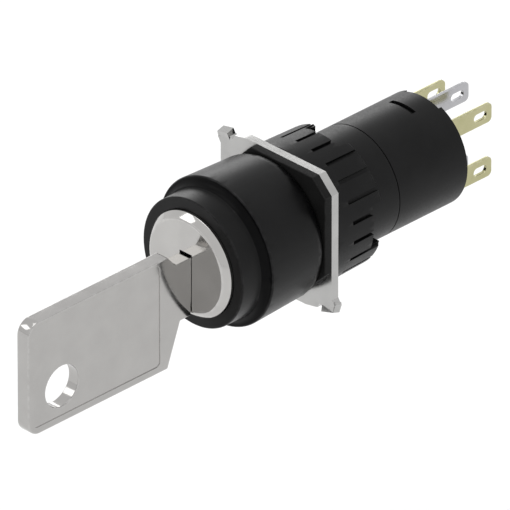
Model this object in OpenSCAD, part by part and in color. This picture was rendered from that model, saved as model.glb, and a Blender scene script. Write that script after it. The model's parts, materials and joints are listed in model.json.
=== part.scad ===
// Panel-mounted selector key switch.
// Frame: the switch axis is Y, its front (key side) looks along -Y, and +Z is up.
// The origin is on the axis, on the face of the gasket that seats on the panel.

/* [Front bezel] */
// Outer diameter of the bezel at its front edge
bezel_d = 20.8; // [20.4:0.1:21.4]
// Diameter of the raised ring round the lock
ring_d = 18.1; // [17.6:0.1:18.6]
// How far the bezel's shoulder stands ahead of the panel
bezel_shoulder = 10.95; // [10:0.1:12]
// How far the raised ring stands ahead of the panel
ring_reach = 15.05; // [14.6:0.05:15.2]

/* [Body] */
// Diameter of the threaded neck and the contact block, for a 16 mm panel hole
body_d = 15.8; // [15.7:0.05:15.9]
// Length of the threaded neck behind the panel
neck_len = 14.55; // [14.4:0.05:15]
// Length of the contact block behind the neck
block_len = 12.4; // [12.2:0.1:13]

/* [Mounting hardware] */
// Width across the flats of the locking plate and the gasket
plate_w = 20.1; // [19.6:0.1:20.6]
// Thickness of the locking plate
plate_t = 1.2; // [1:0.1:1.5]
// Outer diameter of the ring nut at its front
nut_d = 20; // [19.4:0.1:20.4]
// Length of the ring nut
nut_len = 8.75; // [8.5:0.05:9]
// Number of grooves round the ring nut
groove_count = 22; // [12:2:24]

/* [Lock] */
// Diameter of the plug's bevelled front
plug_face_d = 14.8; // [14.4:0.1:15]
// Diameter of the plug inside the barrel
plug_d = 11.2; // [11:0.1:11.4]
// Number of wafers in the plug
wafer_count = 5; // [3:1:5]
// Turn of the key between its two places, in degrees
key_turn = 90; // [60:5:90]

/* [Key] */
// Thickness of the key
key_t = 2.08; // [1.8:0.02:2.1]
// Length of the key's bow
bow_len = 24.9; // [22:0.1:27]
// Diameter of the hole for a key ring
key_hole_d = 5.9; // [4:0.1:7]

/* [Contacts] */
// Width of a terminal tab
tab_w = 2.8; // [2.6:0.1:2.9]
// Thickness of a terminal tab
tab_t = 0.5; // [0.4:0.05:0.6]
// How far the tabs stand out behind the contact block
tab_reach = 7.95; // [6:0.05:9]
// Push of each plunger over the whole turn
plunger_travel = 1; // [0.8:0.1:1]

/* [Hidden] */
$fn = 96;
cut = 0.1;                  // how far a cutter runs past the face that it opens
fit = 0.05;                 // radial clearance of a running fit
gap = 0.1;                  // clearance between fixed neighbours
snug = 0.04;                // radial clearance of a push fit

body_r = body_d / 2;
bezel_r = bezel_d / 2;
bezel_rear_r = bezel_r - 0.35;
ring_r = ring_d / 2;
gasket_t = 1.2;
bezel_rear = -gasket_t;     // rear face of the bezel
block_front = neck_len;
block_rear = neck_len + block_len;

// Lock, from front to rear
plug_front = -ring_reach - 1.3;
plug_bevel = 0.85;
flange_rear = -13.6;
barrel_front = flange_rear + gap;
barrel_rear = 1.9;
barrel_r = 7;
plug_r = plug_d / 2;
plug_rear = 3;
tail_across = 4.2;
tail_len = 3.2;
clip_t = 0.4;

// Keyway and blade, measured across the axis
blade_top = 1.75;
collar_bottom = -4.9;
blade_bottom = -2.85;
collar_rear = -14.4;        // where the tall part of the blade ends inside the plug
blade_tip = 1;
keyway_gap = 0.06;
slot_top = 2.05;            // the keyway rises a little over the blade

// Key bow
shoulder_stop = plug_front - gap;
bow_rear = -20.6;
bow_front = bow_rear - bow_len;
bow_top = 3.45;
bow_bottom = -12.95;
neck_bottom = -6.8;
bow_corner = 2;
panel_depth = 0.12;

// Cam and plungers
cam_front = plug_rear + gap;
cam_hub_t = 3;
cam_face = cam_front + cam_hub_t;
cam_r = 5.9;
arm_x = 2.4;                // how far a plunger sits beside the rocker's pivot
arm_z = 3.7;                // height of the upper plunger and of the upper rocker
plunger_radius = norm([arm_x, arm_z]);
plunger_angle = atan2(-arm_z, arm_x);       // round the axis, seen from the front
ramp_lift = plunger_travel / (2 * sin(key_turn / 2));
ramp_slope = atan(ramp_lift / plunger_radius);
ramp_mid = cam_face + 1.1;
ramp_low = ramp_mid - plunger_travel / 2;
plunger_front = ramp_low + 0.14;
rod_r = 0.85;
head_r = 1.15;
head_rear = plunger_front + 1.6;
guide_front = 11;
guide_rear = 12.4;
nose_r = 0.4;

// Contact rockers, in the frame of the upper set
pivot_y = 19.3;
pivot_r = 0.5;
rocker_tilt = atan(plunger_travel / 2 / arm_x);
rocker_t = 0.36;
rocker_w = 1.6;
rocker_half = 4.7;
rocker_bush_r = 0.95;
tip_x = 4.2;
tip_r = 0.6;
tip_t = 0.35;
foot_y = 21.2;              // front face of the fixed contacts' feet
foot_t = 0.4;
plunger_rear = pivot_y - plunger_travel / 2 - rocker_t / 2 - 0.17;

// Terminals
tab_rear = block_rear + tab_reach;
side_tab_z = 4;
middle_tab_z = 5.4;
tab_corner = 0.7;
eye_r = 0.55;
eye_len = 2.3;
block_bore_r = 7.3;
base_front = 24.4;
base_t = 1.8;
base_r = block_bore_r - fit;

black_plastic = [0.09, 0.09, 0.09];
grey_steel = [0.72, 0.71, 0.70];
pale_zinc = [0.80, 0.80, 0.79];
gold_plate = [0.80, 0.75, 0.52];
silver = [0.78, 0.78, 0.80];

// Turns a shape drawn along Z so that it lies along the switch axis.
module along_axis() {
    rotate([-90, 0, 0]) children();
}

// A straight round bar on the switch axis, from one place to another.
module bar(from, to, r) {
    translate([0, from, 0]) along_axis() cylinder(h = to - from, r = r);
}

// A round tube on the switch axis.
module tube(from, to, outer, inner) {
    difference() {
        bar(from, to, outer);
        bar(from - cut, to + cut, inner);
    }
}

// A solid of revolution on the switch axis, from points of [radius, place].
module turned(points) {
    along_axis() rotate_extrude() polygon(points);
}

// A block given by its lowest and highest corners.
module block(low, high) {
    translate(low) cube(high - low);
}

// The lower set of parts is the upper one turned half round the axis.
module half_turn() {
    rotate([0, 180, 0]) children();
}

// ---- Lock ----

// Side outline of the bow, drawn in Y and Z.
module bow_outline() {
    difference() {
        hull() {
            for (z = [bow_top - bow_corner, bow_bottom + bow_corner])
                translate([bow_front + bow_corner, z]) circle(bow_corner);
            polygon([
                [bow_rear - 2, bow_top], [bow_rear, bow_top], [bow_rear, bow_bottom],
                [bow_rear - 2, bow_bottom]
            ]);
        }
        translate([bow_front + 6.1, -7.75]) circle(key_hole_d / 2);
    }
}

// Neck and blade, drawn in Y and Z, with the notches that lift the wafers.
module blade_outline() {
    difference() {
        polygon([
            [bow_rear - 1, bow_top], [bow_rear, bow_top], [bow_rear + 1.45, blade_top],
            [blade_tip - 1.4, blade_top], [blade_tip, -0.55], [blade_tip - 1.2, blade_bottom],
            [collar_rear, blade_bottom], [collar_rear, collar_bottom],
            [shoulder_stop, collar_bottom], [shoulder_stop, neck_bottom],
            [bow_rear + 2.3, neck_bottom], [bow_rear, bow_bottom], [bow_rear - 1, bow_bottom]
        ]);
        for (i = [0 : wafer_count - 1])
            translate([wafer_place(i), blade_bottom - 0.2])
                rotate(45) square(0.7 + 0.25 * (i % 3), center = true);
    }
}

// Stands an outline drawn in Y and Z up as a plate, centred on the axis.
module key_plate(thickness) {
    rotate([90, 0, 90]) linear_extrude(thickness, center = true) children();
}

module key() {
    color(grey_steel) difference() {
        union() {
            key_plate(key_t) bow_outline();
            key_plate(key_t) blade_outline();
        }
        for (side = [-1, 1])
            translate([side * key_t / 2, 0, 0]) key_plate(2 * panel_depth) bow_panel();
        for (side = [-1, 1])
            block(
                [side * key_t / 2 - 0.35, collar_rear, -0.9],
                [side * key_t / 2 + 0.35, blade_tip + cut, -0.2]
            );
    }
}

// The sunk panel on each face of the bow, which leaves a rim at the bow's edges.
module bow_panel() {
    corner = 0.6;
    front = bow_front + 1;
    rear = bow_rear - 1.35;
    foot = bow_bottom + 1;
    top = bow_top - 0.6;
    hull()
        for (y = [front + corner, rear - corner], z = [foot + corner, top - corner])
            translate([y, z]) circle(corner);
}

function wafer_place(i) = -11.6 + 2 * i;

// The slot through the plug that takes the blade.
module keyway() {
    half = key_t / 2 + keyway_gap;
    block([-half, plug_front - cut, collar_bottom - keyway_gap], [half, collar_rear + 0.1, slot_top]);
    block([-half, plug_front - cut, blade_bottom - keyway_gap], [half, blade_tip + 0.4, slot_top]);
}

module lock_plug() {
    color(pale_zinc) difference() {
        union() {
            turned([
                [0, plug_front], [plug_face_d / 2 - plug_bevel, plug_front],
                [plug_face_d / 2, plug_front + plug_bevel], [plug_face_d / 2, flange_rear],
                [plug_r, flange_rear], [plug_r, barrel_rear + fit],
                [plug_r - 0.5, barrel_rear + fit], [plug_r - 0.5, barrel_rear + clip_t + 2 * fit],
                [plug_r, barrel_rear + clip_t + 2 * fit], [plug_r, plug_rear], [0, plug_rear]
            ]);
            block(
                [-tail_across / 2, plug_rear - cut, -tail_across / 2],
                [tail_across / 2, plug_rear + tail_len, tail_across / 2]
            );
        }
        keyway();
        for (i = [0 : wafer_count - 1])
            block(
                [-2.05, wafer_place(i) - 0.35, -plug_r - cut],
                [2.05, wafer_place(i) + 0.35, plug_r + cut]
            );
        bar(plug_rear, plug_rear + tail_len + cut, 0.8);
    }
}

// Flat brass wafers, each with a window that the blade passes through.
module wafers() {
    color("goldenrod") for (i = [0 : wafer_count - 1])
        difference() {
            block(
                [-1.95, wafer_place(i) - 0.25, -4.7],
                [1.95, wafer_place(i) + 0.25, 3.4]
            );
            block(
                [-key_t / 2 - 0.15, wafer_place(i) - 1, blade_bottom - 0.15],
                [key_t / 2 + 0.15, wafer_place(i) + 1, slot_top]
            );
        }
}

// One short coil spring over each wafer, drawn as its outer sleeve.
module wafer_springs() {
    color("silver") for (i = [0 : wafer_count - 1])
        translate([0, wafer_place(i), 3.45]) difference() {
            cylinder(h = 1.8, r = 0.3, $fn = 24);
            translate([0, 0, -cut]) cylinder(h = 2, r = 0.16, $fn = 24);
        }
}

module lock_barrel() {
    color("darkgray") difference() {
        tube(barrel_front, barrel_rear, barrel_r, plug_r + fit);
        turned([
            [0, barrel_front - cut], [plug_r + 1, barrel_front - cut],
            [plug_r + 1, barrel_front + 0.95], [0, barrel_front + 0.95]
        ]);
        for (z = [-1, 1])
            block(
                [-2.05, wafer_place(0) - 0.6, z * plug_r - 0.5],
                [2.05, barrel_rear - 1.5, z * plug_r + 0.5]
            );
    }
}

module plug_o_ring() {
    color([0.05, 0.05, 0.05]) translate([0, barrel_front + 0.45, 0]) along_axis()
        rotate_extrude() translate([plug_r + 0.52, 0]) circle(0.4, $fn = 32);
}

// Open spring clip in the groove at the plug's rear.
module plug_clip() {
    color("dimgray") difference() {
        tube(barrel_rear + fit, barrel_rear + fit + clip_t, plug_r + 0.55, plug_r - 0.45);
        block([-1.6, barrel_rear - 1, -barrel_r], [1.6, barrel_rear + 2, -plug_r + 1.5]);
    }
}

// ---- Front and mounting ----

module front_bezel() {
    fillet = 1.1;
    round_off = 1.3;
    color(black_plastic) turned(concat(
        [[plug_face_d / 2 + fit, -ring_reach], [ring_r - 0.12, -ring_reach],
            [ring_r, -ring_reach + 0.12]],
        [for (a = [0 : 15 : 90]) [
            ring_r + fillet * (1 - cos(a)), -bezel_shoulder - fillet * (1 - sin(a))]],
        [[bezel_r - 0.15, -bezel_shoulder], [bezel_r, -bezel_shoulder + 0.15]],
        [for (a = [0 : 18 : 90]) [
            bezel_rear_r - 0.6 * (1 - cos(a)), bezel_rear - round_off * (1 - sin(a))]],
        [[8.75, bezel_rear], [8.75, -8], [barrel_r + snug, -8],
            [barrel_r + snug, flange_rear + 0.05], [plug_face_d / 2 + fit, flange_rear + 0.05]]
    ));
}

// Threaded neck with a flange that sits up inside the bezel.
module actuator_housing() {
    flange_r = 8.7;
    cavity_r = 6.7;
    color(black_plastic) difference() {
        turned([
            [barrel_r + snug, -7.9], [flange_r, -7.9], [flange_r, bezel_rear - 0.1],
            [body_r, bezel_rear - 0.1], [body_r, block_front], [cavity_r, block_front],
            [cavity_r, guide_rear], [0, guide_rear], [0, guide_front],
            [cavity_r, guide_front], [cavity_r, barrel_rear + 0.1],
            [barrel_r + snug, barrel_rear + 0.1]
        ]);
        for (turn = [0, 180])
            rotate([0, turn, 0]) translate([arm_x, 0, arm_z])
                bar(guide_front - cut, guide_rear + cut, rod_r + fit);
    }
}

// Outline that the plate and the gasket share, with two clipped corners.
function clipped_square(half, small, large) = [
    [half, half - small], [half - small, half], [-half + large, half], [-half, half - large],
    [-half, -half + small], [-half + small, -half], [half - large, -half],
    [half, -half + large]
];

module panel_gasket() {
    half = plate_w / 2;
    color([0.12, 0.12, 0.12]) difference() {
        translate([0, -gasket_t, 0]) rotate([90, 0, 0]) mirror([0, 0, 1])
            linear_extrude(gasket_t) polygon(clipped_square(half, 2.3, 6.6));
        bar(-gasket_t - cut, cut, body_r + gap);
    }
}

// One bent tooth at a corner of the locking plate, which bites into the panel.
module plate_tooth() {
    lean = 18;
    fold = [-9.5, 8.7];
    translate([fold[0], plate_t / 2, fold[1]]) rotate([90 + lean, 0, 0])
        linear_extrude(plate_t, center = true)
            polygon([[-0.9, -0.7], [1, -0.3], [1.1, 0.4], [1, 1.25], [-1, 0.7], [-1.1, -0.4]]);
}

module locking_plate() {
    half = plate_w / 2;
    color(grey_steel) difference() {
        union() {
            rotate([90, 0, 0]) mirror([0, 0, 1]) linear_extrude(plate_t)
                polygon(concat(
                    [[half, half - 2.3], [half - 2.3, half], [-half + 4.7, half],
                        [-half + 2.6, half - 0.4], [-half + 2.2, half - 1.1],
                        [-half + 1.6, half - 0.9], [-half - 0.5, half - 1.7],
                        [-half, half - 2.5]],
                    [[-half, -half + 2.3], [-half + 2.3, -half], [half - 4.7, -half],
                        [half - 2.6, -half + 0.4], [half - 2.2, -half + 1.1],
                        [half - 1.6, -half + 0.9], [half + 0.5, -half + 1.7],
                        [half, -half + 2.5]]
                ));
            plate_tooth();
            half_turn() plate_tooth();
        }
        bar(-2, plate_t + 2, body_r + gap);
    }
}

module ring_nut() {
    front = plate_t + fit;
    rear = front + nut_len;
    front_r = nut_d / 2;
    rear_r = front_r - 0.25;
    bore_r = body_r + 0.06;
    groove_front = 4.2;
    groove_half = 0.28;
    groove_depth = 0.4;
    first_groove = -2.9;
    notch_depth = 2.05;
    notch_half = 3.13;
    first_notch = 1.75;
    color(black_plastic) difference() {
        turned([
            [bore_r, front], [front_r - 0.2, front], [front_r, front + 0.2],
            [rear_r, rear - 0.4], [rear_r - 0.4, rear], [bore_r, rear]
        ]);
        for (i = [0 : groove_count - 1])
            rotate([0, first_groove + i * 360 / groove_count, 0])
                block(
                    [-groove_half, groove_front, rear_r - groove_depth],
                    [groove_half, rear + cut, front_r + 1]
                );
        for (quarter = [0 : 90 : 270])
            rotate([0, first_notch + quarter, 0])
                block([-notch_half, rear - notch_depth, 0], [notch_half, rear + cut, front_r + 1]);
    }
}

// ---- Cam and plungers ----

// One ramp of the face cam: a ring sector under a tilted flat.
module cam_ramp() {
    inner_r = 3;
    high = plunger_angle - 90 - key_turn / 2;
    intersection() {
        tube(cam_face - cut, cam_face + 3, 5.55, inner_r);
        along_axis() rotate(plunger_angle + 22)
            translate([0, 0, cam_face - 1]) linear_extrude(5)
                polygon([[0, 0], [9, 0], [9, -9], [-9, -9]]);
        along_axis() translate([0, 0, ramp_mid]) rotate(high) rotate([0, -ramp_slope, 0])
            translate([-12, -12, -12]) cube([24, 24, 12]);
    }
}

module cam() {
    color("ivory") difference() {
        union() {
            bar(cam_front, cam_face, cam_r);
            cam_ramp();
            half_turn() cam_ramp();
        }
        block(
            [-tail_across / 2 - fit, cam_front - cut, -tail_across / 2 - fit],
            [tail_across / 2 + fit, plug_rear + tail_len + gap, tail_across / 2 + fit]
        );
    }
}

module cam_screw() {
    head_front = plug_rear + tail_len + gap;
    color("silver") difference() {
        union() {
            bar(plug_rear + 0.4, head_front + 0.2, 0.75);
            bar(head_front + 0.05, head_front + 1, 2.6);
        }
        block([-0.25, head_front + 0.6, -3], [0.25, head_front + 2, 3]);
    }
}

module plunger_upper() {
    color("whitesmoke") translate([arm_x, 0, arm_z]) union() {
        turned([
            [0, plunger_front], [0.35, plunger_front], [0.6, plunger_front + 0.25],
            [0.6, plunger_front + 0.8], [head_r, plunger_front + 0.8], [head_r, head_rear],
            [rod_r, head_rear], [rod_r, plunger_rear - 1.2], [nose_r, plunger_rear - 0.6],
            [nose_r, plunger_rear - 0.15], [nose_r - 0.15, plunger_rear], [0, plunger_rear]
        ]);
    }
}

module plunger_lower() {
    half_turn() plunger_upper();
}

// Return spring round the rod, drawn as rings a pitch apart on a thin sleeve.
module plunger_spring_upper() {
    coils = 4;
    pitch = (guide_front - head_rear) / coils;
    color("silver") translate([arm_x, 0, arm_z]) union() {
        tube(head_rear, guide_front, rod_r + 0.2, rod_r + 0.1);
        for (i = [0 : coils - 1])
            translate([0, head_rear + (i + 0.5) * pitch, 0]) along_axis()
                rotate_extrude($fn = 48) translate([rod_r + 0.24, 0]) circle(0.13, $fn = 16);
    }
}

module plunger_spring_lower() {
    half_turn() plunger_spring_upper();
}

// ---- Contact block ----

module contact_block() {
    front_wall = 0.9;
    window = [2.1, 0.38];
    window_y = 22.95;
    rim_notch = 3.1;
    color(black_plastic) difference() {
        turned([
            [0, block_front + gap], [body_r, block_front + gap], [body_r, block_rear],
            [block_bore_r, block_rear], [block_bore_r, block_front + gap + front_wall],
            [0, block_front + gap + front_wall]
        ]);
        for (turn = [0, 180])
            rotate([0, turn, 0]) {
                translate([arm_x, 0, arm_z]) bar(block_front, block_front + 2, rod_r + 0.3);
                block(
                    [-window[0], window_y - window[1], 5],
                    [window[0], window_y + window[1], 9]
                );
                block([-rim_notch, block_rear - 0.5, 5], [rim_notch, block_rear + 1, 9]);
            }
    }
}

// Cross-section of a slot in the base for one tab.
module tab_slot(x, z) {
    block(
        [x - tab_t / 2 - fit, base_front - cut, z - tab_w / 2 - fit],
        [x + tab_t / 2 + fit, base_front + base_t + cut, z + tab_w / 2 + fit]
    );
}

module terminal_base() {
    arm_front = 22.65;
    color([0.14, 0.14, 0.14]) difference() {
        union() {
            bar(base_front, base_front + base_t, base_r);
            for (turn = [0, 180])
                rotate([0, turn, 0]) intersection() {
                    union() {
                        tube(arm_front, base_front + 0.2, base_r, 6.9);
                        tube(arm_front, arm_front + 0.6, body_r - 0.4, 6.9);
                    }
                    block([-1.9, arm_front - 1, 5], [1.9, base_front + 1, 9]);
                }
        }
        for (turn = [0, 180])
            rotate([0, turn, 0]) {
                tab_slot(-tip_x, side_tab_z);
                tab_slot(tip_x, side_tab_z);
                tab_slot(0, middle_tab_z);
            }
    }
}

// A flat tab with rounded outer corners and an oblong eye.
module tab(x, z, front) {
    eye_rear = tab_rear - 1.5;
    translate([x, 0, z]) difference() {
        union() {
            block([-tab_t / 2, front, -tab_w / 2], [tab_t / 2, tab_rear - tab_corner, tab_w / 2]);
            block(
                [-tab_t / 2, front, -tab_w / 2 + tab_corner],
                [tab_t / 2, tab_rear, tab_w / 2 - tab_corner]
            );
            for (side = [-1, 1])
                translate([-tab_t / 2, tab_rear - tab_corner, side * (tab_w / 2 - tab_corner)])
                    rotate([0, 90, 0]) cylinder(h = tab_t, r = tab_corner, $fn = 48);
        }
        for (y = [eye_rear, eye_rear - eye_len + 2 * eye_r])
            translate([-tab_t, y, 0]) rotate([0, 90, 0]) cylinder(h = 2 * tab_t, r = eye_r, $fn = 48);
        block([-tab_t, eye_rear - eye_len + 2 * eye_r, -eye_r], [tab_t, eye_rear, eye_r]);
    }
}

// A tab on a foot that carries a fixed contact.
module contact_terminal(x) {
    inward = x > 0 ? -1 : 1;
    foot_in = x + inward * 1;
    foot_out = x - inward * 0.7;
    tab(x, side_tab_z, foot_y);
    block(
        [min(foot_in, foot_out), foot_y, arm_z - 0.8],
        [max(foot_in, foot_out), foot_y + foot_t, side_tab_z + 1]
    );
}

module break_terminal_upper() {
    color(gold_plate) contact_terminal(-tip_x);
}

module make_terminal_upper() {
    color(gold_plate) contact_terminal(tip_x);
}

module break_terminal_lower() {
    color(gold_plate) half_turn() contact_terminal(-tip_x);
}

module make_terminal_lower() {
    color(gold_plate) half_turn() contact_terminal(tip_x);
}

// Tab of the common contact, with the post that the rocker turns on.
module common_terminal() {
    strip_bottom = 5;
    strip_top = 6.3;
    tab(0, middle_tab_z, 22);
    block([-tab_t / 2, pivot_y - 0.7, strip_bottom], [tab_t / 2, 22.5, strip_top]);
    translate([0, pivot_y, arm_z - rocker_w / 2 - 0.3])
        cylinder(h = strip_bottom + 0.5 - (arm_z - rocker_w / 2 - 0.3), r = pivot_r);
}

module common_terminal_upper() {
    color(silver) common_terminal();
}

module common_terminal_lower() {
    color(silver) half_turn() common_terminal();
}

// Silver tips riveted to the feet of the break and make terminals.
module fixed_contact_tips() {
    color(silver) for (turn = [0, 180], x = [-tip_x, tip_x])
        rotate([0, turn, 0]) translate([x, 0, arm_z]) bar(foot_y - tip_t + 0.05, foot_y, tip_r);
}

// Seesaw contact strip, tilted at rest so that its outer end closes the break contact.
module rocker_frame() {
    translate([0, pivot_y, arm_z]) rotate(-rocker_tilt) children();
}

module rocker_upper() {
    color("peru") rocker_frame() difference() {
        union() {
            block(
                [-rocker_half, -rocker_t / 2, -rocker_w / 2],
                [rocker_half, rocker_t / 2, rocker_w / 2]
            );
            translate([0, 0, -rocker_w / 2]) cylinder(h = rocker_w, r = rocker_bush_r);
        }
        translate([0, 0, -rocker_w]) cylinder(h = 2 * rocker_w, r = pivot_r + fit);
    }
}

module rocker_lower() {
    half_turn() rocker_upper();
}

// Silver tips on the rear face of the rocker's two ends.
module moving_tips_upper() {
    color(silver) rocker_frame() for (x = [-tip_x + 0.1, tip_x - 0.1])
        translate([x, 0, 0]) bar(rocker_t / 2, rocker_t / 2 + tip_t, tip_r);
}

module moving_tips_lower() {
    half_turn() moving_tips_upper();
}

key();
lock_plug();
wafers();
wafer_springs();
lock_barrel();
plug_o_ring();
plug_clip();
front_bezel();
actuator_housing();
panel_gasket();
locking_plate();
ring_nut();
cam();
cam_screw();
plunger_upper();
plunger_lower();
plunger_spring_upper();
plunger_spring_lower();
contact_block();
terminal_base();
break_terminal_upper();
common_terminal_upper();
make_terminal_upper();
break_terminal_lower();
common_terminal_lower();
make_terminal_lower();
fixed_contact_tips();
rocker_upper();
rocker_lower();
moving_tips_upper();
moving_tips_lower();
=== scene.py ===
# The look of a panel-mounted selector key switch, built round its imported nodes.
# Lengths are in metres, +Y runs from the key to the terminals, and +Z is up.
import json
import math

import bmesh
import bpy
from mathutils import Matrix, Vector

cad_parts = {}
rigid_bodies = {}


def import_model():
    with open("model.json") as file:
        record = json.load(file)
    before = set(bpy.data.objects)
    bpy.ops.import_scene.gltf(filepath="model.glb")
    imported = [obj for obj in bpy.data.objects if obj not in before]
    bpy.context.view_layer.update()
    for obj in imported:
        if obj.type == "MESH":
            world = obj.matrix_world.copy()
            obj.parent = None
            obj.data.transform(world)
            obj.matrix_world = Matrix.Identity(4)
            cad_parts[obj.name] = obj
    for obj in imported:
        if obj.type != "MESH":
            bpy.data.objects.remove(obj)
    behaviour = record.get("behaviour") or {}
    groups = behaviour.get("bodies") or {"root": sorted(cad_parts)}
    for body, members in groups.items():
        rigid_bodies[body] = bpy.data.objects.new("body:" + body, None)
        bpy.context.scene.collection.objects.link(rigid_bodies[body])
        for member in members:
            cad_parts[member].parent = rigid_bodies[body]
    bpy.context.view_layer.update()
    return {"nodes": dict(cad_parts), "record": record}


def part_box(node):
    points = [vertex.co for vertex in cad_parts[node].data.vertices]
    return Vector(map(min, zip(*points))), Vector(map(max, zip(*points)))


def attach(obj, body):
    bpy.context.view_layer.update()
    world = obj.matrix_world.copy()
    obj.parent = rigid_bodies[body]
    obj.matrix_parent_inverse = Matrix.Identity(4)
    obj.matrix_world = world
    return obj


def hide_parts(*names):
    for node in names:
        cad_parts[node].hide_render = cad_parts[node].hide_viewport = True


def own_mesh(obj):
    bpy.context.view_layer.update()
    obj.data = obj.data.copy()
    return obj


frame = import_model()
mm = 0.001
sharp = math.radians(28)        # a turn between two faces that counts as a real edge


# ---- Bench work: picking, joining and finishing meshes ----

def pick_only(piece):
    """Leaves one object selected and active, in object mode."""
    for other in bpy.context.scene.objects:
        other.select_set(False)
    piece.hide_set(False)
    piece.select_set(True)
    bpy.context.view_layer.objects.active = piece


def settle(piece):
    """Puts a piece's place and turn into its mesh, with its origin on the frame's origin."""
    pick_only(piece)
    bpy.ops.object.transform_apply(location=True, rotation=True, scale=True)


def apply_all(piece):
    """Applies every modifier of a piece, in order."""
    pick_only(piece)
    for step in list(piece.modifiers):
        bpy.ops.object.modifier_apply(modifier=step.name)


def moulding_of(node, name):
    """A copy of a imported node, joined up into flat faces and ready to be finished."""
    piece = bpy.data.objects.new(name, frame["nodes"][node].data.copy())
    bpy.context.scene.collection.objects.link(piece)
    pick_only(piece)
    bpy.ops.object.mode_set(mode="EDIT")
    bpy.ops.mesh.select_all(action="SELECT")
    bpy.ops.mesh.remove_doubles(threshold=0.0015 * mm)
    bpy.ops.mesh.dissolve_limited(angle_limit=math.radians(0.3))
    bpy.ops.object.mode_set(mode="OBJECT")
    piece.data.materials.clear()
    return piece


def soften(piece, width, share=None, segments=2):
    """Rounds the sharp edges by width, or by a share of it, and marks the rounding as worn."""
    shell = bmesh.new()
    shell.from_mesh(piece.data)
    weight = shell.edges.layers.float.new("bevel_weight_edge")
    for edge in shell.edges:
        if len(edge.link_faces) == 2 and edge.calc_face_angle() > sharp:
            middle = (edge.verts[0].co + edge.verts[1].co) / 2
            edge[weight] = share(middle) if share else 1
    shell.to_mesh(piece.data)
    shell.free()
    piece.data.materials.append(None)
    piece.data.materials.append(None)
    rounding = piece.modifiers.new("rounding", "BEVEL")
    rounding.width = width
    rounding.segments = segments
    rounding.limit_method = "WEIGHT"
    rounding.use_clamp_overlap = True
    rounding.material = 1       # the rounding is told apart by its material until it is marked
    apply_all(piece)
    worn = piece.data.attributes.new("worn", "FLOAT", "FACE")
    for face in piece.data.polygons:
        worn.data[face.index].value = face.material_index
        face.material_index = 0
    piece.data.materials.clear()


def shade(piece):
    """Smooth shading that keeps flats flat and turns only at real edges."""
    pick_only(piece)
    bpy.ops.object.shade_smooth_by_angle(angle=sharp)
    even = piece.modifiers.new("even", "WEIGHTED_NORMAL")
    even.keep_sharp = True
    even.weight = 60
    apply_all(piece)


def hand_in(piece, body, slot, finish, *nodes):
    """Gives a finished piece its finish, its body and the nodes that it stands for."""
    piece.data.materials.clear()
    piece.data.materials.append(finish)
    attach(piece, body)
    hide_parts(*nodes)


# ---- Finishes ----

def add(tree, kind, **settings):
    """A shader node of one kind with its plain settings."""
    node = tree.nodes.new(kind)
    for name, value in settings.items():
        setattr(node, name, value)
    return node


def noise(tree, place, scale, detail=2.0, roughness=0.5):
    """A noise pattern on the piece's own coordinates; scale is in waves a metre."""
    node = add(tree, "ShaderNodeTexNoise")
    node.inputs["Scale"].default_value = scale
    node.inputs["Detail"].default_value = detail
    node.inputs["Roughness"].default_value = roughness
    tree.links.new(place, node.inputs["Vector"])
    return node.outputs["Fac"]


def spread(tree, value, low, high, start=0.35, end=0.65):
    """Maps the middle of a pattern onto a range."""
    node = add(tree, "ShaderNodeMapRange")
    node.inputs["From Min"].default_value = start
    node.inputs["From Max"].default_value = end
    node.inputs["To Min"].default_value = low
    node.inputs["To Max"].default_value = high
    tree.links.new(value, node.inputs["Value"])
    return node.outputs["Result"]


def blend_colours(tree, share, first, second):
    """Mixes two colours, each a plain colour or a socket."""
    node = add(tree, "ShaderNodeMix", data_type="RGBA")
    tree.links.new(share, node.inputs["Factor"])
    for socket, colour in ((node.inputs[6], first), (node.inputs[7], second)):
        if isinstance(colour, tuple):
            socket.default_value = (*colour, 1)
        else:
            tree.links.new(colour, socket)
    return node.outputs[2]


def combine(tree, operation, first, second):
    """Two patterns added or multiplied."""
    node = add(tree, "ShaderNodeMath", operation=operation)
    tree.links.new(first, node.inputs[0])
    tree.links.new(second, node.inputs[1])
    return node.outputs[0]


def face_mark(tree, name):
    """A mark that is kept on a piece's faces: 1 where it holds, and 0 elsewhere."""
    return add(tree, "ShaderNodeAttribute", attribute_name=name).outputs["Fac"]


def object_place(tree, stretch=(1, 1, 1)):
    """Object coordinates, stretched for a grain that runs one way."""
    place = add(tree, "ShaderNodeTexCoord")
    turn = add(tree, "ShaderNodeMapping")
    turn.inputs["Scale"].default_value = stretch
    tree.links.new(place.outputs["Object"], turn.inputs["Vector"])
    return turn.outputs["Vector"]


def round_axis(tree):
    """Distance from the switch axis as a coordinate, for marks left by turning."""
    flat = object_place(tree, (1, 0, 1))
    reach = add(tree, "ShaderNodeVectorMath", operation="LENGTH")
    tree.links.new(flat, reach.inputs[0])
    join = add(tree, "ShaderNodeCombineXYZ")
    tree.links.new(reach.outputs["Value"], join.inputs["X"])
    return join.outputs["Vector"]


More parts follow.
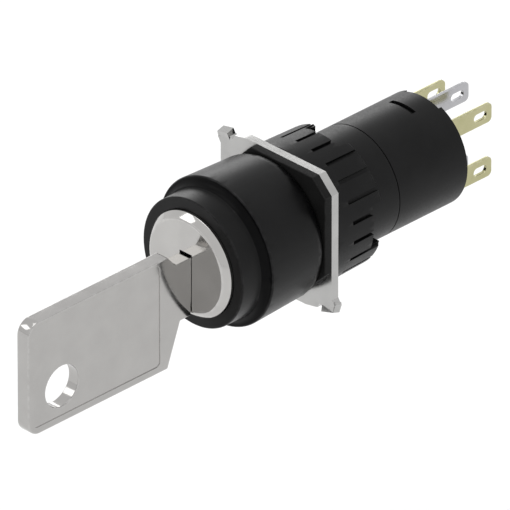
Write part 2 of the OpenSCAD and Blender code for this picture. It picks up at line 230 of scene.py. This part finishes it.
def new_finish(name, metal, low, high, rough, grain, relief, stretch=(1, 1, 1), turned=False,
               worn_colour=(0.5, 0.5, 0.5), worn_rough=0.3, worn_share=0.6, cloud=260.0,
               lustre=0.5, painted_shade_share=None):
    """A finish: low and high are the colours it drifts between, rough the range of its gloss,
    grain the waves a metre of its surface, and relief the depth of that grain in metres.
    The worn values are those of rubbed edges, cloud is the waves a metre of the slow drift,
    and the share for the step is the lustre left on faces marked for painted shade, a dark band
    in a concave step."""
    made = bpy.data.materials.new(name)
    made.use_nodes = True
    tree = made.node_tree
    shader = tree.nodes["Principled BSDF"]
    shader.inputs["Metallic"].default_value = metal
    still = object_place(tree)
    along = round_axis(tree) if turned else object_place(tree, stretch)
    clouds = noise(tree, still, cloud, 3.0, 0.55)
    fine = noise(tree, along, grain, 2.0, 0.6)
    patchy = noise(tree, still, cloud * 4.5, 2.0, 0.6)
    rubbed = spread(tree, patchy, 0.0, worn_share, 0.38, 0.62)
    wear = combine(tree, "MULTIPLY", face_mark(tree, "worn"), rubbed)
    body = blend_colours(tree, spread(tree, clouds, 0.0, 1.0), low, high)
    tree.links.new(blend_colours(tree, wear, body, worn_colour), shader.inputs["Base Color"])
    # Painted shade: on faces marked for the concave step the lustre drops to a share of itself,
    # so the step reads as a dark band.
    if painted_shade_share is None:
        shader.inputs["Specular IOR Level"].default_value = lustre
    else:
        painted_shade_lustre = spread(
            tree, face_mark(tree, "painted_step_shade"), lustre, lustre * painted_shade_share, 0.0, 1.0)
        tree.links.new(painted_shade_lustre, shader.inputs["Specular IOR Level"])
    grained = spread(tree, fine, rough[0], rough[1])
    gloss = combine(tree, "ADD", grained, spread(tree, clouds, -0.02, 0.02))
    worn_gloss = add(tree, "ShaderNodeMix", data_type="FLOAT")
    tree.links.new(wear, worn_gloss.inputs["Factor"])
    tree.links.new(gloss, worn_gloss.inputs[2])
    worn_gloss.inputs[3].default_value = worn_rough
    tree.links.new(worn_gloss.outputs[0], shader.inputs["Roughness"])
    bump = add(tree, "ShaderNodeBump")
    bump.inputs["Strength"].default_value = 1.0
    bump.inputs["Distance"].default_value = relief
    tree.links.new(fine, bump.inputs["Height"])
    tree.links.new(bump.outputs["Normal"], shader.inputs["Normal"])
    return made


finishes = {
    "key_steel": new_finish(
        "nickelled key steel", 1.0, (0.402, 0.394, 0.385), (0.427, 0.419, 0.409), (0.10, 0.15),
        7000.0, 0.00015 * mm, stretch=(1, 0.06, 1), worn_colour=(0.50, 0.495, 0.485),
        worn_rough=0.14),
    "satin_zinc": new_finish(
        "nickelled zinc casting", 1.0, (0.450, 0.442, 0.431), (0.480, 0.472, 0.460), (0.07, 0.12),
        5200.0, 0.0001 * mm, turned=True, worn_colour=(0.54, 0.53, 0.52), worn_rough=0.13),
    "brass": new_finish(
        "rolled brass", 1.0, (0.68, 0.50, 0.24), (0.74, 0.58, 0.30), (0.24, 0.34),
        6000.0, 0.0012 * mm, stretch=(1, 1, 0.1), worn_colour=(0.84, 0.72, 0.44)),
    "spring_steel": new_finish(
        "drawn spring steel", 1.0, (0.50, 0.51, 0.53), (0.58, 0.59, 0.61), (0.18, 0.28),
        9000.0, 0.0008 * mm, worn_colour=(0.74, 0.74, 0.75)),
    "die_cast": new_finish(
        "raw die casting", 1.0, (0.42, 0.42, 0.43), (0.52, 0.52, 0.53), (0.38, 0.52),
        4200.0, 0.0040 * mm, worn_colour=(0.64, 0.64, 0.65)),
    "rubber": new_finish(
        "black rubber", 0.0, (0.0035, 0.0035, 0.0035), (0.0065, 0.0065, 0.0065), (0.60, 0.76),
        5200.0, 0.0050 * mm, worn_colour=(0.014, 0.014, 0.014), worn_rough=0.6, lustre=0.16),
    # The bezel keeps only 30% of its lustre in the concave step: painted shade for a dark band
    # there.
    "black_bezel": new_finish(
        "satin black moulding", 0.0, (0.0022, 0.0022, 0.0024), (0.0040, 0.0040, 0.0042),
        (0.30, 0.40), 6200.0, 0.0022 * mm, worn_colour=(0.020, 0.020, 0.021), worn_rough=0.28,
        worn_share=0.5, lustre=0.16, painted_shade_share=0.3),
    "black_body": new_finish(
        "black glass-filled moulding", 0.0, (0.0024, 0.0024, 0.0026), (0.0046, 0.0046, 0.0048),
        (0.34, 0.46), 5200.0, 0.0034 * mm, worn_colour=(0.022, 0.022, 0.023), worn_rough=0.32,
        worn_share=0.5, lustre=0.16),
    "plate_steel": new_finish(
        "zinc-plated pressing", 1.0, (0.405, 0.403, 0.397), (0.450, 0.448, 0.441), (0.15, 0.23),
        3600.0, 0.0006 * mm, worn_colour=(0.64, 0.635, 0.62), worn_rough=0.15),
    "white_nylon": new_finish(
        "natural nylon", 0.0, (0.66, 0.64, 0.58), (0.74, 0.72, 0.67), (0.38, 0.50),
        5000.0, 0.0025 * mm, worn_colour=(0.82, 0.80, 0.76), worn_rough=0.34),
    "gold_plate": new_finish(
        "pale gold flash", 1.0, (0.415, 0.400, 0.225), (0.460, 0.440, 0.265), (0.14, 0.22),
        6000.0, 0.0012 * mm, stretch=(1, 0.12, 1), worn_colour=(0.66, 0.64, 0.46),
        worn_rough=0.18),
    "silver_plate": new_finish(
        "satin silver plate", 1.0, (0.400, 0.400, 0.415), (0.450, 0.450, 0.465), (0.12, 0.20),
        6000.0, 0.0012 * mm, stretch=(1, 0.12, 1), worn_colour=(0.66, 0.66, 0.67),
        worn_rough=0.18),
    "copper_alloy": new_finish(
        "spring bronze", 1.0, (0.62, 0.38, 0.24), (0.70, 0.46, 0.31), (0.22, 0.34),
        6000.0, 0.0012 * mm, stretch=(0.12, 1, 1), worn_colour=(0.80, 0.60, 0.46)),
}

body_of = {}
for body, members in frame["record"]["behaviour"]["bodies"].items():
    for member in members:
        body_of[member] = body
slot_of = {}
for part in frame["record"]["subparts"]:
    slot_of[part["node"]] = part["material_slot"]


def dress(node):
    """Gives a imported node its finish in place."""
    packed = frame["nodes"][node]
    packed.data.materials.clear()
    packed.data.materials.append(finishes[slot_of[node]])


def finish_copy(node, name, width, share=None, segments=2):
    """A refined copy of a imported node, softened, shaded and handed in."""
    piece = moulding_of(node, name)
    soften(piece, width, share, segments)
    shade(piece)
    hand_in(piece, body_of[node], slot_of[node], finishes[slot_of[node]], node)
    return piece


for node in frame["nodes"]:
    dress(node)


# ---- Key ----

key_low, key_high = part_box("key")
bow_end = key_low.y + 24.4 * mm         # the rear of the sunk panel's stretch
rim_width = 0.9 * mm                    # the rim round the panel, at the bow's front and foot
top_rim = 0.5 * mm
hole_place = Vector((key_low.y + 6.1 * mm, -7.75 * mm))
hole_reach = 3.1 * mm
half_key = 1.08 * mm
neck_end = -17 * mm                     # where the key goes into the plug


def key_share(place):
    """Full rounding on the outline and the ring hole, and a crisp step round the sunk panel."""
    if (Vector((place.y, place.z)) - hole_place).length < hole_reach:
        return 0.75
    inside_rim = (
        key_low.y + rim_width < place.y < bow_end
        and key_low.z + rim_width < place.z < key_high.z - top_rim
    )
    if inside_rim:
        return 0.18
    return 1.0 if abs(place.x) < half_key and place.y < neck_end else 0.45


finish_copy("key", "key_with_sunk_bow", 0.2 * mm, key_share, 3)

# ---- Lock, front and body mouldings ----

plug_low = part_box("lock_plug")[0]
face_edge = 6.55 * mm                   # radius at which the plug's face turns into its bevel
plug_gap = 7.6 * mm                     # radius that takes in the bezel's edge round the plug
step_front = -12.05 * mm                # the concave step between the bezel's two diameters
step_rear = -10.93 * mm
step_inner = 9.07 * mm


def from_axis(place):
    """Distance from the switch axis."""
    return math.hypot(place.x, place.z)


def plug_share(place):
    """A wide soft turn from the plug's face into its bevel, and crisp edges elsewhere."""
    on_face = place.y < plug_low.y + 0.05 * mm
    on_edge = abs(from_axis(place) - face_edge) < 0.15 * mm
    return 1.0 if on_face and on_edge else 0.25


def bezel_share(place):
    """A crisp edge round the plug and a soft one everywhere outside it."""
    return 0.2 if from_axis(place) < plug_gap else 1.0


finish_copy("lock_plug", "bevelled_plug", 0.36 * mm, plug_share, 3)
bezel = finish_copy("front_bezel", "stepped_bezel", 0.14 * mm, bezel_share)
# Painted shade: faces in the concave step between the bezel's two diameters are marked, and their
# finish loses most of its lustre so the step reads dark.
painted_step_shade = bezel.data.attributes.new("painted_step_shade", "FLOAT", "FACE")
for face in bezel.data.polygons:
    in_step = step_front < face.center.y < step_rear and from_axis(face.center) > step_inner
    painted_step_shade.data[face.index].value = 1.0 if in_step else 0.0
finish_copy("panel_gasket", "clipped_gasket", 0.12 * mm)
finish_copy("locking_plate", "toothed_plate", 0.22 * mm)
finish_copy("ring_nut", "grooved_ring_nut", 0.12 * mm)
finish_copy("actuator_housing", "neck_and_flange", 0.1 * mm)
finish_copy("contact_block", "windowed_block", 0.12 * mm)
finish_copy("terminal_base", "latched_base", 0.08 * mm)
for place in ("upper", "lower"):
    for kind in ("break", "common", "make"):
        finish_copy(f"{kind}_terminal_{place}", f"{kind}_tab_{place}", 0.09 * mm)


# ---- Return springs, as real coils ----

def coil(name, ring_r, wire_r, start, length, turns):
    """A coil spring on the switch axis: one wire section carried round by a screw."""
    for other in bpy.context.scene.objects:
        other.select_set(False)
    bpy.ops.mesh.primitive_circle_add(
        vertices=12, radius=wire_r, fill_type="NOTHING", location=(ring_r, start + wire_r, 0))
    piece = bpy.context.active_object
    piece.name = name
    settle(piece)
    winding = piece.modifiers.new("winding", "SCREW")
    winding.axis = "Y"
    winding.steps = 30
    winding.render_steps = 30
    winding.iterations = turns
    winding.screw_offset = (length - 2 * wire_r) / turns
    winding.use_merge_vertices = True
    winding.merge_threshold = 0.001 * mm
    apply_all(piece)
    bpy.ops.object.mode_set(mode="EDIT")
    bpy.ops.mesh.select_all(action="SELECT")
    bpy.ops.mesh.fill_holes(sides=0)
    bpy.ops.mesh.select_all(action="SELECT")
    bpy.ops.mesh.normals_make_consistent(inside=False)
    bpy.ops.object.mode_set(mode="OBJECT")
    return piece


def move_mesh(piece, step):
    """Moves a piece's mesh by a step, in edit mode."""
    pick_only(piece)
    bpy.ops.object.mode_set(mode="EDIT")
    bpy.ops.mesh.select_all(action="SELECT")
    bpy.ops.transform.translate(value=step)
    bpy.ops.object.mode_set(mode="OBJECT")


spring_low, spring_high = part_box("plunger_spring_upper")
spring_len = spring_high.y - spring_low.y
spring_r = (spring_high.x - spring_low.x) / 2
wire_r = 0.13 * mm
first_spring = coil("return_spring_upper", spring_r - wire_r, wire_r, spring_low.y, spring_len, 4)
second_spring = first_spring.copy()
second_spring.data = first_spring.data.copy()
second_spring.name = "return_spring_lower"
bpy.context.scene.collection.objects.link(second_spring)
for piece, place in ((first_spring, "upper"), (second_spring, "lower")):
    low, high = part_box(f"plunger_spring_{place}")
    move_mesh(piece, ((low.x + high.x) / 2, 0, (low.z + high.z) / 2))
    pick_only(piece)
    bpy.ops.object.shade_smooth()
    hand_in(piece, "switch_body", "spring_steel", finishes["spring_steel"],
            f"plunger_spring_{place}")
    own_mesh(piece)


# ---- Floor, light and camera ----

floor_drop = 60 * mm
bpy.ops.mesh.primitive_plane_add(size=12, location=(0, 0, -floor_drop))
floor = bpy.context.active_object
floor.name = "floor"
pale = bpy.data.materials.new("pale floor")
pale.use_nodes = True
floor_tree = pale.node_tree
floor_shader = floor_tree.nodes["Principled BSDF"]
floor_shader.inputs["Roughness"].default_value = 0.9
floor_clouds = noise(floor_tree, object_place(floor_tree), 3.0)
floor_tint = blend_colours(
    floor_tree, floor_clouds, (0.91, 0.91, 0.91), (0.94, 0.94, 0.94))
floor_tree.links.new(floor_tint, floor_shader.inputs["Base Color"])
floor.data.materials.append(pale)

sky = bpy.data.worlds.new("studio")
bpy.context.scene.world = sky
sky.use_nodes = True
sky.node_tree.nodes["Background"].inputs["Color"].default_value = (1, 1, 1, 1)
sky.node_tree.nodes["Background"].inputs["Strength"].default_value = 0.94

lamp_distance = 2.4


def softbox(name, towards, size, power):
    """A square soft light that looks at the switch from one direction."""
    lamp = bpy.data.lights.new(name, "AREA")
    lamp.shape = "SQUARE"
    lamp.size = size
    lamp.energy = power
    stand = bpy.data.objects.new(name, lamp)
    bpy.context.scene.collection.objects.link(stand)
    way = Vector(towards).normalized()
    stand.location = way * lamp_distance
    stand.rotation_euler = way.to_track_quat("Z", "Y").to_euler()


softbox("overhead", (-0.12, -0.05, 1.0), 1.5, 10)
softbox("front_left", (-0.61, -0.53, 0.58), 0.9, 4.8)
softbox("low_back", (-0.75, 0.61, 0.25), 0.9, 6.2)

lens = bpy.data.cameras.new("camera")
lens.lens = 1500
lens.sensor_width = 36
lens.clip_start = 0.1
lens.clip_end = 12
camera = bpy.data.objects.new("camera", lens)
bpy.context.scene.collection.objects.link(camera)
view_width = 65.3 * mm
back = Vector((0.6124, -0.6124, 0.5)).normalized()
aim = Vector((-0.06, -3.76, -3.46)) * mm
camera.location = aim + back * (view_width * lens.lens / lens.sensor_width)
camera.rotation_euler = back.to_track_quat("Z", "Y").to_euler()
bpy.context.scene.camera = camera
bpy.context.scene.view_settings.view_transform = "Standard"
